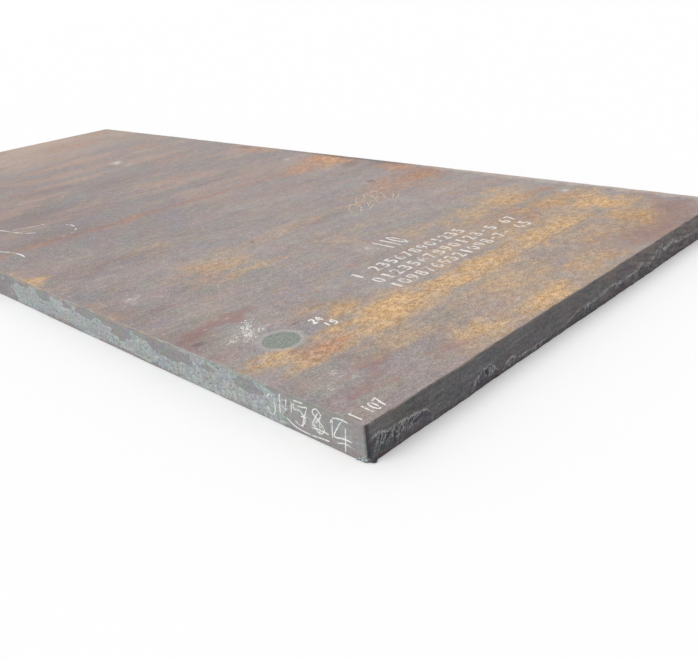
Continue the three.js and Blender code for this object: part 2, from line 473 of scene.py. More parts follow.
def cut_bands(f):
    """The steel above and below the ragged line."""
    layers = f.grain((5, 4, 75))
    upper = f.ramp(
        f.clouds * 0.25 + f.drag * 0.25 + layers * 0.5,
        (0.41, 0x504F52), (0.5, 0x626163), (0.59, 0x777473),
    )
    lower = f.ramp(
        f.clouds * 0.25 + f.drag * 0.55 + layers * 0.2,
        (0.4, 0x36353D), (0.5, 0x535258), (0.6, 0x7C7A7D),
    )
    slant = slanted(f, 2.0, 0.35)
    blots = f.grain((26, 4, 70), vector=slant)
    streaked = f.grain((7, 4, 62), 4, 0.75, slant)
    under = f.above.rise(0.001, -0.004) * f.above.rise(-0.034, -0.016) * f.right
    steel = f.washed(
        f.mix(f.lower, upper, lower),
        (f.x, -0.7, 0.5, (1 - f.lower) * 0.6, 0x706865),
        (streaked, 0.5, 0.59, f.right * 0.54 + 0.08, 0x8E7C74),
        (streaked, 0.5, 0.41, f.right * 0.56 + 0.08, 0x3C3840),
        (f.drag, 0.62, 0.42, under * 0.55, 0x302F38),
        (blots, 0.52, 0.64, 0.4, 0x868382),
        (blots, 0.48, 0.36, 0.4 + f.lower * 0.2, 0x3C3A3F),
        (f.fine, 0.5, 0.64, 0.45, 0x949392),
        (f.fine, 0.5, 0.36, 0.5, 0x38373E),
    )
    return f.tinted(steel, (14, 5, 26), 0.022)


def torn_places(f, steel):
    """The pale ragged line, its teeth, and the pits and bright ridges of the torn places."""
    gouged = f.patches(f.join(f.x, f.z, 0.0), GOUGES, 0.4) * f.above.rise(0.006, 0.0)
    steel = f.washed(
        steel,
        (f.drag, 0.52, 0.64, gouged * 0.45, 0x96989B),
        (f.drag, 0.5, 0.4, gouged * 0.6, 0x32343E),
        (f.notches, 0.5, 0.42, gouged.rise(0.3, 0.85) * 0.75, 0x2A2C36),
    )
    ridges = gouged.rise(0.35, 0.8) * abs(f.notches - 0.515).rise(0.032, 0.01)
    ridges = ridges * f.fine.rise(0.38, 0.5)
    shown = f.heights(f.across, LINE_STRENGTH)
    broken = (f.grain((34, 4, 46), 4, 0.75) - f.right * 0.05).rise(0.43, 0.53)
    line = abs(f.above).rise(0.005, 0.001) * broken * shown * (1 - f.right * 0.35)
    dabs = f.grain((24, 4, 70), vector=slanted(f, 1.6, 0.4))
    dabs = abs(f.above - 0.003).rise(0.013, 0.003) * dabs.rise(0.47, 0.57) * shown * f.right
    teeth = abs(f.above + 0.002).rise(0.011, 0.002) * f.drag.rise(0.53, 0.63) * shown
    bright = (line * 0.8).over(teeth * 0.65).over(ridges * 0.8).over(dabs * 0.72)
    return f.mix(bright, steel, tone(0xB8B8B7))


def end_edges(f, steel):
    """The melted upper edge with a pale line along it, partly wear and partly painted highlight, the dark
    corner, rust and scorching towards the two edges, and painted shade along the foot.
    """
    crest = f.z.rise(0.09, 0.108)
    arris = f.z.rise(THICKNESS - 0.0045, THICKNESS - 0.0005)
    low = f.z.rise(0.024, 0.004)
    return f.washed(
        steel,
        (f.grain((7, 7, 60)), 0.5, 0.66, crest * 0.55, 0x8C7460),
        # Partly worn metal and partly a painted highlight: a broken pale line along the rounded upper edge.
        (f.grain((14, 4, 4), 3, 0.6), 0.3, 0.62, arris * 0.7, 0xA6988C),
        (f.x, -HALF_WIDTH + 0.02, -HALF_WIDTH + 0.006, 0.8, 0x34363B),
        (f.grain((9, 4, 60)), 0.4, 0.58, low * 0.55, 0x523C39),
        # Painted shade: very dark along the foot, where the plate meets what it rests on.
        (f.z, 0.006, 0.0, 0.75, 0x2E2C2F),
    )


def cut_end():
    """The torch-cut ends: a smooth warm band above a ragged line, rough and blue-black below it."""
    f = Finish("flame_cut_end")
    depth = (THICKNESS - f.z) / THICKNESS
    f.trail = f.join(f.x + depth * depth * DRAG, f.y, f.z)
    f.drag = f.grain((170, 3, 7), vector=f.trail)
    f.fine = f.grain((260, 6, 120), 4, 0.75, f.trail)
    f.notches = f.grain((62, 4, 40), 3, 0.6, f.trail)
    f.clouds = f.grain((6, 6, 22), 4, 0.6)
    f.ragged = f.grain((22, 4, 30), 5)
    f.across = (f.x + HALF_WIDTH) / (2 * HALF_WIDTH)
    jagged = f.grain((80, 4, 24), 3, 0.7, f.trail)
    line = f.heights(f.across, BREAK_LINE) * THICKNESS
    f.above = f.z - line - (f.ragged - 0.5) * 0.016 - (jagged - 0.5) * 0.026
    f.lower = f.above.rise(0.002, -0.003)
    f.right = f.x.rise(-0.3, 0.4)
    steel = end_edges(f, torn_places(f, cut_bands(f)))
    relief = f.bump(f.drag * 0.7 + f.fine * 0.5, 1.6 * MM, 0.8)
    relief = f.bump(f.lower * f.ragged, 2 * MM, 0.5, relief)
    return f.surface(steel, 0.6 + f.drag * 0.2, relief, metallic=0.15, specular=0.35)


# Chalk dust on the left side, between the strokes: ovals as above, along Y and up.
DUST = (
    (-230.5, 5.6, 6, 4, 100), (-242.5, 6.2, 4, 3.6, 70), (-223.5, 8, 5, 3, 70),
)


def skin(f):
    """The steel where the scale has gone."""
    bare = f.ramp(
        f.clouds * 0.5 + f.drag * 0.5,
        (0.34, 0x888386), (0.5, 0x959091), (0.66, 0xA39E9C),
    )
    return f.washed(
        bare,
        (f.y, -1.6, -2.35, f.left * 0.6, 0xA3A09E),
        (f.y, -0.45, -0.6, f.left * 0.5, 0x939593),
    )


def old_scale(f, bare):
    """The old scale over it, stained, specked, and outlined where it breaks off: pale on the scale's side,
    and a painted shadow on the bare side.
    """
    cover = f.cover
    scale = f.ramp(
        f.torn * 0.45 + f.fine * 0.35 + f.clouds * 0.2,
        (0.38, 0x8C9395), (0.5, 0xA8AFAF), (0.62, 0xC4C9C8),
    )
    stain = f.grain((9, 11, 24))
    specks = f.grain((70, 75, 110))
    dust = f.patches(f.join(f.y, f.z, 0.0), DUST, 0.2) * f.left
    steel = f.washed(
        f.mix(cover, bare, scale),
        (stain, 0.52, 0.66, 0.45, 0xACA2A4),
        (stain, 0.48, 0.34, cover * 0.5, 0x94A0A3),
        # Painted shadow: a dark rim on the bare side of each break, where the scale's thickness would cast
        # it.
        (abs(f.edge - 0.36), 0.07, 0.0, 0.35, 0x686669),
        (abs(f.edge - 0.62), 0.09, 0.0, 0.4, 0xCED2CF),
        (specks, 0.48, 0.36, 0.3 + cover * 0.35, 0x707072),
        (specks, 0.52, 0.64, 0.2 + cover * 0.4, 0xD0D1CE),
        (f.torn * 0.5 + f.fine * 0.5, 0.4, 0.62, dust * 0.55, 0xC6C6C2),
    )
    return f.tinted(steel, (12, 16, 34), 0.055)


def side_edges(f, steel):
    """Rust along the foot and the crest, upper edges pale partly from wear and partly as a painted
    highlight, painted shade along the foot, and the dark near corner.
    """
    low = f.z.rise(0.03, 0.002)
    crest = f.z.rise(THICKNESS - 0.013, THICKNESS - 0.002)
    streaks = f.grain((5, 13, 60), 5, 0.75)
    clean = 1.0 - f.y.rise(-1.5, -1.8) * f.left * 0.8
    # Where the upper edge is pale: partly worn metal and partly a painted highlight on the rounded edge.
    worn = f.z.rise(THICKNESS - 0.004, THICKNESS - 0.0005)
    corner = (-HALF_LENGTH + 0.012, -HALF_LENGTH + 0.004)
    return f.washed(
        steel,
        (f.grain((5, 6, 30)), 0.44, 0.66, low * 0.4, 0x928480),
        (f.z, THICKNESS - 0.013, THICKNESS - 0.002, 0.3, 0x8E8682),
        (streaks, 0.5, 0.6, crest * clean * 0.7, 0xC0AC8A),
        (streaks, 0.45, 0.36, crest * 0.6, 0x9E8684),
        # Partly wear and partly a painted highlight: pale along the rounded upper edge.
        (f.fine, 0.35, 0.6, worn * clean * 0.5, 0xB0A094),
        # Painted shade: darker along the foot, where the plate meets what it rests on.
        (f.z, 0.004, 0.0, 0.6, 0x545050),
        (f.y, *corner, f.left * 0.6, 0x46484A),
    )


def old_side():
    """The old long sides: pale blue-green scale, flaked off in places down to a mauve-grey skin."""
    f = Finish("weathered_side")
    f.flake = f.node("Attribute", output="Fac", attribute_name="flake")
    f.clouds = f.grain((3, 4, 12), 4, 0.6)
    f.torn = f.grain((30, 34, 60), 5)
    f.fine = f.grain((160, 190, 260), 3)
    f.drag = f.grain((4, 120, 8), 4, 0.66)
    f.left = f.x.rise(0.0, -1.0)
    f.edge = f.flake + (f.torn - 0.5) * 0.9 + (f.fine - 0.5) * 0.4
    f.cover = f.edge.rise(0.38, 0.58)
    steel = side_edges(f, old_scale(f, skin(f)))
    relief = f.bump(f.torn * 0.6 + f.fine * 0.5 + f.drag * 0.3, 1.2 * MM, 0.6)
    return f.surface(steel, 0.62 + f.cover * 0.16, relief, metallic=0.08, specular=0.35)


def film_finish(name, full, thin, share):
    """Paint or chalk: full where it lies thick, and towards thin where it has worn."""
    f = Finish(name)
    worn = f.grain((150, 150, 150), 3) * 0.6 + f.grain((30, 30, 30), 3, 0.6) * 0.4
    colour = f.between_tones(worn.rise(0.62 - share, 0.72 - share * 0.5), full, thin)
    return f.surface(colour, 0.85 + worn * 0.1, f.bump(worn, 0.6 * MM, 0.5), specular=0.25)


# ------------ meshes and pieces


def everything(bm):
    return bm.verts[:] + bm.edges[:] + bm.faces[:]


def only(kind, items):
    return [item for item in items if isinstance(item, kind)]


def meshed(name, bm):
    """A mesh from a bmesh, which is then done with."""
    mesh = bpy.data.meshes.new(name)
    bm.to_mesh(mesh)
    bm.free()
    return mesh


def take_in(bm, mesh):
    """Adds a mesh, which is then done with, to a bmesh."""
    bm.from_mesh(mesh)
    bpy.data.meshes.remove(mesh)


def surface_of(mesh):
    """A mesh's surface, to cast rays onto."""
    bm = bmesh.new()
    bm.from_mesh(mesh)
    tree = BVHTree.FromBMesh(bm)
    bm.free()
    return tree


def placed(name, data):
    """A new object in the scene."""
    made = bpy.data.objects.new(name, data)
    bpy.context.scene.collection.objects.link(made)
    return made


def settled(bm, name, *finishes):
    """A finished piece from its mesh."""
    mesh = meshed(name, bm)
    for finish in finishes:
        mesh.materials.append(finish)
    piece = placed(name, mesh)
    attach(piece, "root")
    return piece


def smooth(value, low, high):
    share = min(1.0, max(0.0, (value - low) / (high - low)))
    return share * share * (3 - 2 * share)


def cloud(x, y, seed, octaves=5):
    """Fractal noise of about -1 to 1."""
    return noise.fractal(Vector((x, y, seed)), 0.9, 2.1, octaves)


# ------------ the plate


def ring_heights():
    """Heights of the rings from the top face to the foot."""
    top = [THICKNESS - down * MM for down in TOP_RINGS_MM]
    foot = [up * MM for up in FOOT_RINGS_MM]
    span = top[-1] - foot[0]
    middle = [top[-1] - span * (i + 1) / (MIDDLE_RINGS + 1) for i in range(MIDDLE_RINGS)]
    return top + middle + foot


def side_of(point):
    """The way out at a point of the blank's edge: square to its side, or across a corner."""
    out = Vector((0, 0, 0))
    if abs(point.x) > BLANK_HALF_WIDTH - ON_SIDE:
        out += RIGHT if point.x > 0 else LEFT
    if abs(point.y) > BLANK_HALF_LENGTH - ON_SIDE:
        out += FAR if point.y > 0 else NEAR
    return out.normalized()


def runs_along(edge, side):
    """Whether an edge of the blank lies wholly on one side of it."""
    half = BLANK_HALF_WIDTH if side.x else BLANK_HALF_LENGTH
    return all(abs(vert.co.dot(side) - half) < ON_SIDE for vert in edge.verts)


def blank():
    """A slab with finely divided edges, made from one grid drawn down through the rings."""
    bm = bmesh.new()
    ring = bm.verts.layers.int.new("ring")
    bmesh.ops.create_grid(bm, x_segments=GRID[0], y_segments=GRID[1], size=1.0)
    bmesh.ops.scale(bm, verts=bm.verts, vec=(BLANK_HALF_WIDTH, BLANK_HALF_LENGTH, 1))
    bmesh.ops.translate(bm, verts=bm.verts, vec=UP * THICKNESS)
    for sides, cuts in (((NEAR, LEFT), FINE_CUTS), ((FAR, RIGHT), PLAIN_CUTS)):
        rim = [edge for edge in bm.edges if edge.is_boundary]
        chosen = [edge for edge in rim if any(runs_along(edge, side) for side in sides)]
        bmesh.ops.bisect_edges(bm, edges=chosen, cuts=cuts)
    heights = ring_heights()
    foot = only(BMVert, bmesh.ops.duplicate(bm, geom=everything(bm))["geom"])
    bmesh.ops.translate(bm, verts=foot, vec=-UP * THICKNESS)
    for vert in foot:
        vert[ring] = LAST_RING
    below = set(foot)
    rim = [edge for edge in bm.edges if edge.is_boundary and edge.verts[0] not in below]
    for index in range(1, len(heights)):
        made = bmesh.ops.extrude_edge_only(bm, edges=rim)["geom"]
        verts = only(BMVert, made)
        bmesh.ops.translate(bm, verts=verts, vec=UP * (heights[index] - heights[index - 1]))
        for vert in verts:
            vert[ring] = index
        fresh = set(verts)
        rim = [edge for edge in only(BMEdge, made) if fresh.issuperset(edge.verts)]
    bmesh.ops.remove_doubles(bm, verts=bm.verts, dist=SAME)
    bmesh.ops.recalc_face_normals(bm, faces=bm.faces)
    return bm, ring


def between(table, place):
    """The number at a place, from a table of places and numbers."""
    for (low, first), (high, second) in zip(table, table[1:]):
        if place <= high:
            return first + (second - first) * max(0.0, place - low) / (high - low)
    return table[-1][1]


def oval(x, y, centre_x, centre_y, half_x, half_y):
    """One in the middle of an oval, nought outside it."""
    far = math.hypot((x - centre_x) / half_x, (y - centre_y) / half_y)
    return 1 - smooth(far, 0.35, 1.0)


# How deep the torch's fine grooves go, and the rough band's tearing and gouges. How far the line
# above that band wanders, and half the height of the step there.
GROOVE = 0.35 * MM
TEAR = 0.7 * MM
GOUGE = 6.0 * MM
WANDER = 5 * MM
STEP = 2 * MM


def cut_relief(along, height, seed):
    """How far a torch-cut end stands out at a place: fine drag marks, and torn metal low down."""
    depth = (THICKNESS - height) / THICKNESS
    trail = along + DRAG * depth * depth
    grooves = noise.noise(Vector((trail * 95, height * 6, seed))) * GROOVE
    grooves += noise.noise(Vector((trail * 31, height * 9, seed + 5))) * GROOVE
    across = (along + HALF_WIDTH) / (2 * HALF_WIDTH)
    line = between(BREAK_LINE, across) * THICKNESS + cloud(along * 22, height * 20, seed) * WANDER
    lower = 1 - smooth(height, line - STEP, line + STEP)
    torn = cloud(trail * 40, height * 30, seed + 9) * TEAR - TEAR
    notch = noise.noise(Vector((trail * 62, height * 40, seed + 13)))
    deep = 0.0
    for x, z, half_x, half_z, strength in GOUGES:
        share = oval(along, height, x * CM, z * CM, half_x * CM, half_z * CM) * strength / 100
        deep += share * max(0.0, notch - 0.05) * GOUGE
    body = smooth(height, 0.5 * MM, 5 * MM) * (1 - smooth(height, THICKNESS - 4 * MM, THICKNESS))
    return (grooves + torn * lower - deep) * body


# Where the old scale has flaked off the left side, in centimetres: Y, height, half length, half height.
BARE_ISLANDS = (
    (-204.5, 7.9, 6.6, 2.1), (-186.5, 7.7, 3, 1), (-177, 8.6, 1.2, 1.6), (-166.5, 7.8, 11.5, 2.4),
    (-154, 9.8, 10, 1.4), (-137, 8.2, 6, 3.6), (-129, 9.8, 8, 2), (-114.5, 8.8, 6, 2),
    (-101, 8.9, 3.6, 1.2), (-81.5, 8.8, 5.5, 2.6), (-90, 10.6, 9, 1), (-95, 0.4, 12, 1),
    (-145, 0.2, 25, 0.9), (-62, 10.4, 10, 1.8), (-222, 10, 9, 1.2), (-226, 4.6, 4, 2),
)
ISLAND_SPREAD = 1.35

# The plates of scale, the pitting, and the chips in the upper edge and how far down they reach.
PLATES = 0.9 * MM
PITS = 0.25 * MM
CHIP = 9 * MM
DEEPEST_CHIP = 3 * MM
CHIP_REACH = 5 * MM


def left_flake(y, height):
    """How thick the old scale lies on the left side, from nought to one."""
    cover = 0.85 * smooth(y, -2.36, -2.12) * (1 - smooth(y, -0.62, -0.44))
    cover += 0.22 * (1 - smooth(cover, 0.0, 0.4))
    slipped_y = y + cloud(y * 22, height * 40, 8.0) * 0.022
    slipped_up = height + cloud(y * 22, height * 40, 41.0) * 0.007
    for island in BARE_ISLANDS:
        centre, z, half_y, half_z = (size * CM for size in island)
        half = (half_y * ISLAND_SPREAD, half_z * ISLAND_SPREAD)
        cover -= 1.3 * oval(slipped_y, slipped_up, centre, z, *half)
    cover -= 0.4 * (1 - smooth(y, -2.42, -2.2))
    return cover + cloud(y * 12, height * 34, 4.0) * 0.36


def right_flake(y, height):
    """The same on the right side, which is a little more worn."""
    cover = 0.42 + 0.3 * math.sin(y * 1.9 + 0.7) + 0.12 * math.sin(y * 6.1)
    return cover + cloud(y * 8, height * 24, 21.0) * 0.42


def side_relief(y, height, flake, seed):
    """How far a long side stands out: plates of scale, a little pitting, and chips along its top edge."""
    plates = (smooth(flake, 0.42, 0.6) - 0.5) * PLATES
    pits = cloud(y * 60, height * 70, seed) * PITS
    down = THICKNESS - height
    chip = max(0.0, cloud(y * 11, 0.5, seed + 7, 4) - 0.12) * math.exp(-down / CHIP_REACH)
    body = smooth(height, 0.5 * MM, 4 * MM) * smooth(down, 0.5 * MM, 4 * MM)
    return (plates + pits) * body - min(chip * CHIP, DEEPEST_CHIP)


# Where each side's noise is taken from, so that no two sides are alike.
SEEDS = {"left": 2.0, "right": 33.0, "near": 1.0, "far": 55.0}


def press(bm, surface):
    """Presses the blank's edges outwards onto the frame's surface, and roughens them."""
    flake_of = bm.verts.layers.float.new("flake")
    for vert in bm.verts:
        out = side_of(vert.co)
        if not out.length:
            continue
        x, y, height = vert.co
        level = min(max(height, FACE_MARGIN), THICKNESS - FACE_MARGIN)
        start = Vector((x, y, level)) + out * CAST
        hit = surface.ray_cast(start, -out, 2 * CAST)[0] or surface.find_nearest(start)[0]
        stand = 0.0
        flake = 0.5
        if out.x and not out.y:
            flake = left_flake(y, height) if out.x < 0 else right_flake(y, height)
            stand = side_relief(y, height, flake, SEEDS["left" if out.x < 0 else "right"])
        if out.y and not out.x:
            near = out.y < 0
            stand = cut_relief(x if near else -x, height, SEEDS["near" if near else "far"])
        vert.co.x = hit.x + out.x * stand
        vert.co.y = hit.y + out.y * stand
        vert[flake_of] = min(1.0, max(0.0, flake))


def facing(face, ring_of):
    """The name of the plate's face that this small face belongs to."""
    rings = [vert[ring_of] for vert in face.verts]
    if min(rings) == max(rings):
        return "foot" if rings[0] == LAST_RING else "top"
    normal = face.normal
    if abs(normal.y) > abs(normal.x):
        return "near" if normal.y < 0 else "far"
    return "left" if normal.x < 0 else "right"


# What the rounded edges add to the way up a wall.
ROUND_TOP = 3 * MM
ROUND_FOOT = 1 * MM


def girth(height):
    """How far up a wall a height lies, measured round the rounded edges."""
    if height > THICKNESS - SAME:
        return THICKNESS + ROUND_TOP
    return height + ROUND_FOOT if height > SAME else 0.0


def lay_out(bm, ring_of):
    """Finishes and the bake sheet: every face of the plate has a column of its own."""
    sheet = bm.loops.layers.uv.new("OFBake")
    columns = {}
    start = SHEET_GAP
    for name, (finish, width) in FACES.items():
        columns[name] = (finish, start / SHEET, width / SHEET)
        start += width + SHEET_GAP
    for face in bm.faces:
        name = facing(face, ring_of)
        face.smooth = name not in ("top", "foot")
        face.material_index, left, width = columns[name]
        for loop in face.loops:
            x, y, z = loop.vert.co
            share_x, share_y = ((at + half) / (2 * half) for at, half in zip((x, y), SHEET_HALF))
            across = girth(z) / (THICKNESS + ROUND_TOP) if face.smooth else share_x
            up = share_x if name in ("near", "far") else share_y
            loop[sheet].uv = (left + across * width, SHEET_MARGIN + up * (1 - 2 * SHEET_MARGIN))
    for edge in bm.edges:
        edge.smooth = len({face.smooth for face in edge.link_faces}) == 1


def rolled_plate(frame_mesh):
    """The plate itself, with its rounded and roughened edges."""
    bm, ring_of = blank()
    press(bm, surface_of(frame_mesh))
    bm.normal_update()
    lay_out(bm, ring_of)
    bm.verts.layers.int.remove(ring_of)
    return settled(bm, "rolled_plate", rolled_face(), cut_end(), old_side())


# ------------ paint and chalk films


# How far a film stands out, and the size of the cells that wear away.
FILM = 0.3 * MM
CELL = 2.0 * MM

# How far a stroke stands above the one under it, and how many such steps there are. Its width at
# its ends as a share, and how fast it widens from there.
LAP = 0.03 * MM
LAPS = 9
END_WIDTH = 0.45
END_TAPER = 6

# How fine the specks are that wear leaves, and how much they tell beside its larger clouds.
SPECKS = 330
SPECKS_TELL = 0.6

# The stencilled rows: the figures, where the first one's left foot lies, and how far the row runs.
ROWS = (
    ("1 235678901235", (-0.385, -1.812), 0.645),
    ("0123567890123-5 67", (-0.375, -1.902), 0.88),
    ("1098765321098-7- 65", (-0.375, -1.988), 0.85),
)
# The stencil: a figure's width, height and foot, how much fatter than the type it is, the bridge
# that holds the middle of a ringed one, and how far off its line one strays.
FIGURE = (0.031, 0.06, 0)
ODD_FIGURES = {"1": (0.031 * 0.45, 0.06, 0), "-": (0.022, 0.008, 0.026)}
FIGURE_WEIGHT = 0.016
BRIDGE = 4.0 * MM
RINGED = "0689"
WOBBLE = 1.2 * MM

# Hand-drawn figures, in a box a hundred wide and a hundred high.
HAND = {
    "0": [[(50, 100), (15, 75), (12, 30), (45, 0), (85, 25), (85, 75), (50, 100)]],
    "1": [[(35, 80), (55, 100), (50, 50), (52, 0)]],
    "2": [[(10, 80), (40, 100), (80, 80), (60, 45), (10, 2), (95, 6)]],
    "4": [[(60, 100), (30, 70), (5, 35), (50, 37), (98, 40)], [(72, 75), (68, 0)]],
    "5": [[(20, 97), (15, 60), (60, 62), (88, 30), (50, 0), (8, 10)], [(20, 97), (90, 100)]],
    "7": [[(5, 95), (50, 96), (92, 100), (60, 50), (40, 0)], [(30, 50), (85, 55)]],
    "8": [
        [(55, 55), (20, 80), (50, 100), (80, 80), (50, 55), (15, 25)],
        [(15, 25), (50, 0), (88, 25), (55, 55)],
    ],
}
HAND_PITCH = 1.35


def along(points, share):
    """A point on the smooth curve through the points, and the way it runs, at a share of its length."""
    last = len(points) - 1
    place = min(max(share, 0.0), 0.9999) * last
    index = int(place)
    t = place - index
    before, first, second, after = (Vector(points[min(max(index + k, 0), last)]) for k in (-1, 0, 1, 2))
    bend = (second - before) * 0.5
    swing = (after - first) * 0.5
    rise = second - first
    cube = bend + swing - rise * 2
    square = rise * 3 - bend * 2 - swing
    way = cube * 3 * t**2 + square * 2 * t + bend
    return first + bend * t + square * t**2 + cube * t**3, way.normalized()


def stroke(bm, points, width):
    """One stroke: a strip of small cells bent along the points, thinner at its ends. It lies a
    little above the one before and climbs along its length, so that no two share a plane."""
    reach = sum((Vector(b) - Vector(a)).length for a, b in zip(points, points[1:]))
    steps = max(4, round(reach / CELL))
    lift = LAP * (len(bm.verts) % LAPS)
    for vert in bmesh.ops.create_grid(bm, x_segments=steps, y_segments=3, size=1.0)["verts"]:
        share = (vert.co.x + 1) / 2
        centre, way = along(points, share)
        pressure = 0.65 + 0.35 * noise.noise(Vector((centre.x * 70, centre.y * 70, 3)))
        taper = min(1.0, END_WIDTH + END_TAPER * share, END_WIDTH + END_TAPER * (1 - share))
        aside = Vector((-way.y, way.x)) * vert.co.y * width * 0.5 * taper * (0.7 + pressure * 0.5)
        vert.co = (centre.x + aside.x, centre.y + aside.y, lift + LAP * share)


def strokes(bm, rows):
    """Strokes, each given as its points in centimetres and its width in millimetres."""
    for points, width in rows:
        stroke(bm, [(x * CM, y * CM) for x, y in points], width * MM)


def hand_figures(bm, rows):
    """Figures drawn by hand. Each row is their text, the first one's left foot, one's width and
    height, the width of the stroke in millimetres, and how far they lean."""
    for text, (start, foot), (wide, high), width, lean in rows:
        for index, figure in enumerate(text):
            left = start + index * wide * HAND_PITCH
            for points in HAND.get(figure, ()):
                parts = [(x / 100, y / 100) for x, y in points]
                stroke(bm, [(left + (x + lean * y) * wide, foot + y * high) for x, y in parts], width * MM)


def figure_cells(character):
    """A stencil-cut figure as flat small cells, its left foot at the origin, and its width."""
    curve = bpy.data.curves.new("figure", "FONT")
    curve.body = character
    curve.offset = FIGURE_WEIGHT
    text = placed("figure", curve)
    bpy.context.view_layer.update()
    mesh = bpy.data.meshes.new_from_object(text.evaluated_get(bpy.context.evaluated_depsgraph_get()))
    bpy.data.objects.remove(text)
    bm = bmesh.new()
    take_in(bm, mesh)
    low = Vector([min(v.co[axis] for v in bm.verts) for axis in range(3)])
    high = Vector([max(v.co[axis] for v in bm.verts) for axis in range(3)])
    width, height, foot = ODD_FIGURES.get(character, FIGURE)
    scale = Matrix.Diagonal((width / (high.x - low.x), height / (high.y - low.y), 1, 1))
    bm.transform(Matrix.Translation((0, foot, 0)) @ scale @ Matrix.Translation(-low))
    planes = [(CELL * (i + 0.5), RIGHT) for i in range(round(width / CELL))]
    planes += [(foot + CELL * (i + 0.5), FAR) for i in range(round(height / CELL))]
    for at, normal in planes:
        bmesh.ops.bisect_plane(bm, geom=everything(bm), plane_co=normal * at, plane_no=normal)
    if character in RINGED:
        bridge = [f for f in bm.faces if abs(f.calc_center_median().x - width / 2) < BRIDGE / 2]
        bmesh.ops.delete(bm, geom=bridge, context="FACES")
    return meshed("figure", bm), width


def stencil_rows(sheet, rows):
    """Rows of stencilled figures, one pitch apart."""
    figures = {c: figure_cells(c) for c in sorted({c for row in rows for c in row[0] if c != " "})}
    for text, (start, foot), reach in rows:
        pitch = reach / len(text)
        for index, character in enumerate(text):
            if character == " ":
                continue
            cells, width = figures[character]
            left = start + index * pitch + (pitch - width) / 2
            wobble = noise.noise(Vector((index * 3.7, foot * 9, 0))) * WOBBLE
            mesh = cells.copy()
            mesh.transform(Matrix.Translation((left, foot + wobble, 0)))
            take_in(sheet, mesh)
    for cells, _ in figures.values():
        bpy.data.meshes.remove(cells)


def wear(bm, share, stretch, seed):
    """Takes away the cells where a film has worn through."""
    gone = []
    for face in bm.faces:
        centre = face.calc_center_median()
        rub = cloud(centre.x * stretch[0], centre.y * stretch[1], seed, 4)
        rub += SPECKS_TELL * noise.noise(Vector((centre.x * SPECKS, centre.y * SPECKS, seed)))
        if rub * 0.5 + 0.5 < share:
            gone.append(face)
    bmesh.ops.delete(bm, geom=gone, context="FACES")


def thicken(bm, name, finish, out, surface=None):
    """Lays a flat film on the plate, following the surface under it, and gives it its thickness."""
    bmesh.ops.remove_doubles(bm, verts=bm.verts, dist=SAME)
    if surface is not None:
        for vert in bm.verts:
            lift = vert.co.dot(out) - HALF_WIDTH
            hit = surface.ray_cast(vert.co + out * CAST, -out, 2 * CAST)[0]
            vert.co = (hit or surface.find_nearest(vert.co)[0]) + out * lift
    raised = only(BMVert, bmesh.ops.extrude_face_region(bm, geom=bm.faces[:])["geom"])
    bmesh.ops.translate(bm, verts=raised, vec=out * FILM)
    above = set(raised)
    low = [vert for vert in bm.verts if vert not in above]
    bmesh.ops.translate(bm, verts=low, vec=out * -FILM)
    bmesh.ops.recalc_face_normals(bm, faces=bm.faces)
    settled(bm, name, finish)


def drawn(*steps):
    """A flat sheet of marks. A step is a way to draw, its rows, and how the sheet wears after it."""
    sheet = bmesh.new()
    for draw, rows, *worn in steps:
        draw(sheet, rows)
        if worn:
            wear(sheet, *worn)
    return sheet


def on_top(name, finish, *steps):
    """A film on the upper face."""
    sheet = drawn(*steps)
    bmesh.ops.translate(sheet, verts=sheet.verts, vec=UP * THICKNESS)
    thicken(sheet, name, finish, UP)


# On the upper face: the number above the stencilled rows, small numbers at the near left corner and
# beside the paint spot, long loose chalk lines, and loops of crayon.
LARGE_NUMBER = (("110", (-0.07, -1.69), (0.03, 0.115), 8, 0),)
CORNER_NUMBER = (("1 107", (-1.09, -2.474), (0.0165, 0.046), 4.4, 0.1),)
SPOT_NUMBERS = (
    ("24", (-0.745, -1.955), (0.019, 0.036), 7.5, 0.2),
    ("15", (-0.735, -2.01), (0.019, 0.032), 6.5, 0.2),
)
CHALK_LINES = (
    (((-83, 28), (-80, 14), (-77, 3), (-73, -2)), 6),
    (((-60, 2), (-57.5, -6), (-60, -15), (-67, -21)), 6),
    (((-98.5, -12), (-95.5, -20), (-94, -28), (-94.5, -34)), 7), (((-80, 16), (-72, 12), (-62, 9)), 4),
)
SCRIBBLE = (
    (((22, -120), (27, -113), (33, -109), (31, -117), (26, -121), (33, -116)), 3.4),
    (((33, -116), (37, -108), (42, -104), (40, -112), (35, -118), (42, -113)), 3.4),
    (((42, -113), (45, -106), (50, -102), (47, -111), (43, -116), (50, -110)), 3.8),
    (((50, -110), (52, -104), (56, -102), (55, -108), (50, -115)), 3.8),
    (((30, -123), (38, -119), (47, -120), (54, -117), (60, -111)), 3.8),
    (((48, -121), (54, -120), (58, -117)), 5),
)
# Where chalk was rubbed off: centre, half size, turn and how many flecks are left.
SMUDGES = (
    ((-0.893, -1.8), (0.075, 0.022), 50, 110),
    ((-0.925, -1.836), (0.03, 0.034), 50, 30),
    ((-0.868, -1.838), (0.04, 0.022), 0, 22),
    ((-0.974, -1.834), (0.022, 0.016), 0, 18),
    ((0.365, 1.085), (0.04, 0.022), 40, 34),
)
# Their flecks: how they gather, their sides, the least and most length, width and turn, and how
# far their corners stray.
GATHERED = 0.42
FLECK_SIDES = 6
FLECK_LENGTH = (1.4, 4.2)
FLECK_WIDTH = (0.9, 2.0)
FLECK_TURN = (-1.3, 0.5)
FLECK_STRAY = (0.6, 0.5)


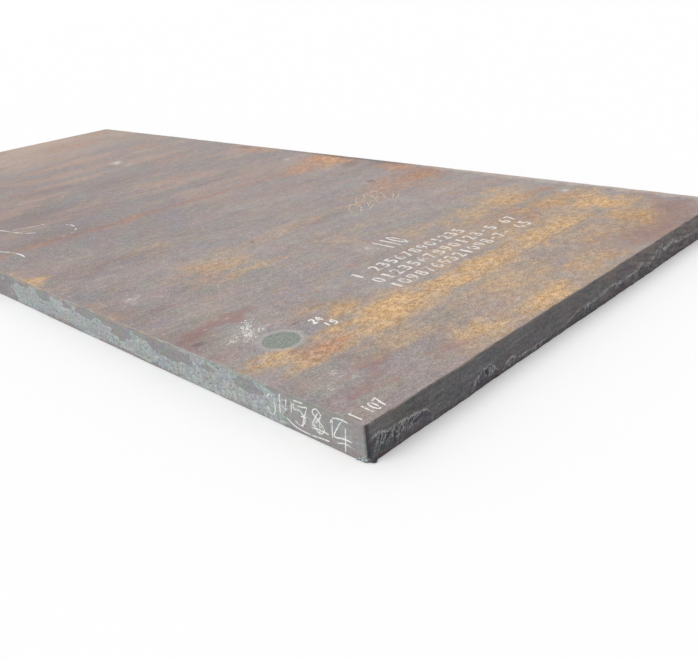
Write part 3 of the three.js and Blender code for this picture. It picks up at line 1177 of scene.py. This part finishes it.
def smudges(bm, rows):
    """Flecks of chalk left in the pits of the steel, closer together towards a smudge's middle."""
    for centre, half, turn, count in rows:
        chance = random.Random(count)
        middle = Matrix.Translation((*centre, 0)) @ Matrix.Rotation(math.radians(turn), 4, "Z")
        for index in range(count):
            aside, ahead = (chance.gauss(0, GATHERED) * reach for reach in half)
            long, wide = (chance.uniform(*reach) * MM for reach in (FLECK_LENGTH, FLECK_WIDTH))
            place = middle @ Matrix.Translation((aside, ahead, LAP * (index % LAPS)))
            place = place @ Matrix.Rotation(chance.uniform(*FLECK_TURN), 4, "Z")
            place = place @ Matrix.Diagonal((long, wide, 1, 1))
            sides = {"cap_ends": True, "segments": FLECK_SIDES, "radius": 1.0}
            for vert in bmesh.ops.create_circle(bm, matrix=place, **sides)["verts"]:
                for axis, stray in enumerate(FLECK_STRAY):
                    vert.co[axis] += chance.uniform(-stray, stray) * MM


# Chalk on the left side, on a sheet whose X runs from the middle of the plate to the near end: the
# faint first figures, the plainer ones, and the strokes through and under them.
FAINT_FIGURES = (
    ("0", (2.125, 0.02), (0.04, 0.066), 3.5, 0),
    ("1", (2.165, 0.036), (0.03, 0.06), 3.5, 0.2),
    ("11", (2.196, 0.052), (0.016, 0.036), 3.5, 0.4),
)
PLAIN_FIGURES = (
    ("58", (2.235, 0.026), (0.052, 0.072), 3.8, -0.1),
    ("741", (2.25, 0.022), (0.04, 0.066), 3.5, 0.1),
    ("4", (2.38, 0.006), (0.062, 0.096), 3.8, 0.1),
)
STRUCK_THROUGH = (
    (((220.5, 3), (224, 1.4), (229, 1), (234, 1.4), (236.6, 1.6)), 3.8),
    (((230, 3.4), (233, 3.8), (236.6, 3.6)), 3.8),
    (((238.5, 9.2), (241, 9.8), (244, 9.7)), 3.8),
    (((239, 3.6), (242, 4.4), (245.2, 4.2)), 3.8),
    (((239.4, 2.2), (242.5, 3), (245.6, 2.6)), 3.5),
)
# Stands that sheet against the left side.
ONTO_LEFT = Matrix(((0, 0, -1, -HALF_WIDTH), (-1, 0, 0, 0), (0, 1, 0, 0), (0, 0, 0, 1)))


def side_chalk(finish, plate):
    """A number chalked by hand on the left side, and scribbled over."""
    faint = (hand_figures, FAINT_FIGURES, 0.3, (50, 50), 5)
    struck = (strokes, STRUCK_THROUGH, 0.3, (50, 50), 17)
    sheet = drawn(faint, (hand_figures, PLAIN_FIGURES), struck)
    bmesh.ops.transform(sheet, matrix=ONTO_LEFT, verts=sheet.verts)
    thicken(sheet, "side_chalk", finish, LEFT, surface_of(plate.data))


# ------------ slag at the near left foot


# Crumbs of slag on the left side of the corner, and the dark run in front of it: centre, and
# radius in millimetres.
CRUMBS = (
    ((-1.094, -2.4885, 0.0075), 5.5), ((-1.097, -2.48, 0.005), 4.6),
    ((-1.099, -2.4715, 0.0062), 3.6), ((-1.098, -2.484, 0.0135), 3.2),
    ((-1.1, -2.463, 0.0035), 3.0), ((-1.09, -2.4935, 0.004), 4.0),
    ((-1.096, -2.489, 0.018), 2.2),
)
RUNS = (
    ((-1.085, -2.502, 0.006), 6.2), ((-1.081, -2.506, 0.003), 4.4),
    ((-1.074, -2.503, 0.0035), 3.6), ((-1.088, -2.498, 0.013), 3.4),
)
# How deep and how fine a bead's knobs are, how far apart two beads' knobs are drawn, and the
# lowest that slag may lie.
KNOB = 0.22
KNOBS = 260
APART = 90
SLAG_FOOT = 0.2 * MM


def slag_finish(name, dark, pale):
    """Glassy crusted slag."""
    f = Finish(name)
    crust = f.grain((300, 300, 300))
    colour = f.between_tones(crust.rise(0.38, 0.62), dark, pale)
    return f.surface(colour, 0.45 + crust * 0.35, f.bump(crust, 1.2 * MM, 0.8), metallic=0.2)


def slag(name, beads, finish):
    """A few set beads of slag run together, none of them below the foot."""
    bm = bmesh.new()
    for centre, radius in beads:
        for vert in bmesh.ops.create_icosphere(bm, subdivisions=3, radius=radius * MM)["verts"]:
            knob = 1 + KNOB * noise.noise(vert.co * KNOBS + Vector(centre) * APART)
            vert.co = vert.co * knob + Vector(centre)
            vert.co.z = max(vert.co.z, SLAG_FOOT)
    for face in bm.faces:
        face.smooth = True
    settled(bm, name, finish)


# ------------ the studio


# The sky's and the sun's strength, how wide the sun is in degrees, and the way to it. The floor's
# half width, how far it lies below the plate, and its colour. The camera's lens and place.
SKY = 0.7
SUN = 1.2
SUN_WIDTH = 40
SUN_FROM = Vector((-0.6, 0.2, 0.77))
FLOOR_HALF = 60
FLOOR_DROP = 0.5 * MM
FLOOR_PALE = (0.62, 0.62, 0.62, 1)
WHITE = (1.0, 1.0, 1.0, 1)
LENS = 40.226
SENSOR = 36
FAR_CLIP = 400
CAMERA_PLACE = (-2.2219, -3.6463, 1.0885)
CAMERA_TURN = (65.642, 5.0538, -46.1236)


def seen_plainly(finish):
    """One for rays straight from the camera, or by way of a mirror or glass."""
    rays = ["Is Camera Ray", "Is Glossy Ray", "Is Transmission Ray"]
    camera, glossy, through = (finish.node("LightPath", output=name) for name in rays)
    return camera.over(glossy).over(through)


def floor():
    """A wide pale floor that keeps the plate's shadow."""
    bm = bmesh.new()
    bmesh.ops.create_grid(bm, x_segments=1, y_segments=1, size=FLOOR_HALF)
    bmesh.ops.translate(bm, verts=bm.verts, vec=-UP * FLOOR_DROP)
    f = Finish("pale_floor")
    colour = f.mix(seen_plainly(f), FLOOR_PALE, WHITE)
    mesh = meshed("floor", bm)
    mesh.materials.append(f.surface(colour, 1.0, specular=0.0))
    placed("floor", mesh)


class Sky(Finish):
    """The world, made with the same tools as a material."""

    def __init__(self):
        world = bpy.data.worlds.new("sky")
        world.use_nodes = True
        bpy.context.scene.world = world
        self.tree = world.node_tree
        self.tree.nodes.clear()
        strength = SKY + seen_plainly(self) * (1.0 - SKY)
        light = self.node("Background", {"Color": WHITE, "Strength": strength})
        self.node("OutputWorld", {"Surface": light}, None)


def sun():
    """A wide soft sun, high and to the left."""
    lamp = bpy.data.lights.new("sun", "SUN")
    lamp.energy = SUN
    lamp.angle = math.radians(SUN_WIDTH)
    placed("sun", lamp).rotation_euler = SUN_FROM.to_track_quat("Z", "Y").to_euler()


def camera():
    """Close over the near left corner, looking along the plate."""
    lens = bpy.data.cameras.new("camera")
    lens.lens = LENS
    lens.sensor_width = SENSOR
    lens.sensor_fit = "HORIZONTAL"
    lens.clip_end = FAR_CLIP
    holder = placed("camera", lens)
    holder.location = CAMERA_PLACE
    holder.rotation_euler = [math.radians(angle) for angle in CAMERA_TURN]
    bpy.context.scene.camera = holder


camera()
Sky()
sun()
floor()
plate = rolled_plate(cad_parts["plate"].data)
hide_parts("plate")
white_paint = film_finish("white_paint", 0xF0E9E3, 0xC2B8B1, 0.18)
chalk = film_finish("chalk", 0xF4F3F0, 0xCCCAC7, 0.14)
crayon = film_finish("yellow_crayon", 0xE8D9BE, 0xCABAA2, 0.2)
on_top("stencil_numbers", white_paint, (stencil_rows, ROWS, 0.3, (26, 34), 2))
on_top("large_number", white_paint, (hand_figures, LARGE_NUMBER, 0.2, (40, 40), 12))
small = drawn(
    (hand_figures, CORNER_NUMBER, 0.34, (60, 60), 3),
    (hand_figures, SPOT_NUMBERS, 0.3, (60, 60), 8),
    (smudges, SMUDGES),
)
on_top("upper_chalk", chalk, (strokes, CHALK_LINES, 0.46, (40, 40), 6), (take_in, meshed("small", small)))
on_top("crayon_scribble", crayon, (strokes, SCRIBBLE, 0.46, (40, 40), 6))
side_chalk(chalk, plate)
slag("slag_crumbs", CRUMBS, slag_finish("pale_slag", 0x7C8A90, 0xCEDADE))
slag("slag_run", RUNS, slag_finish("dark_slag", 0x222428, 0x4E5256))
bpy.context.scene.view_settings.view_transform = "Standard"
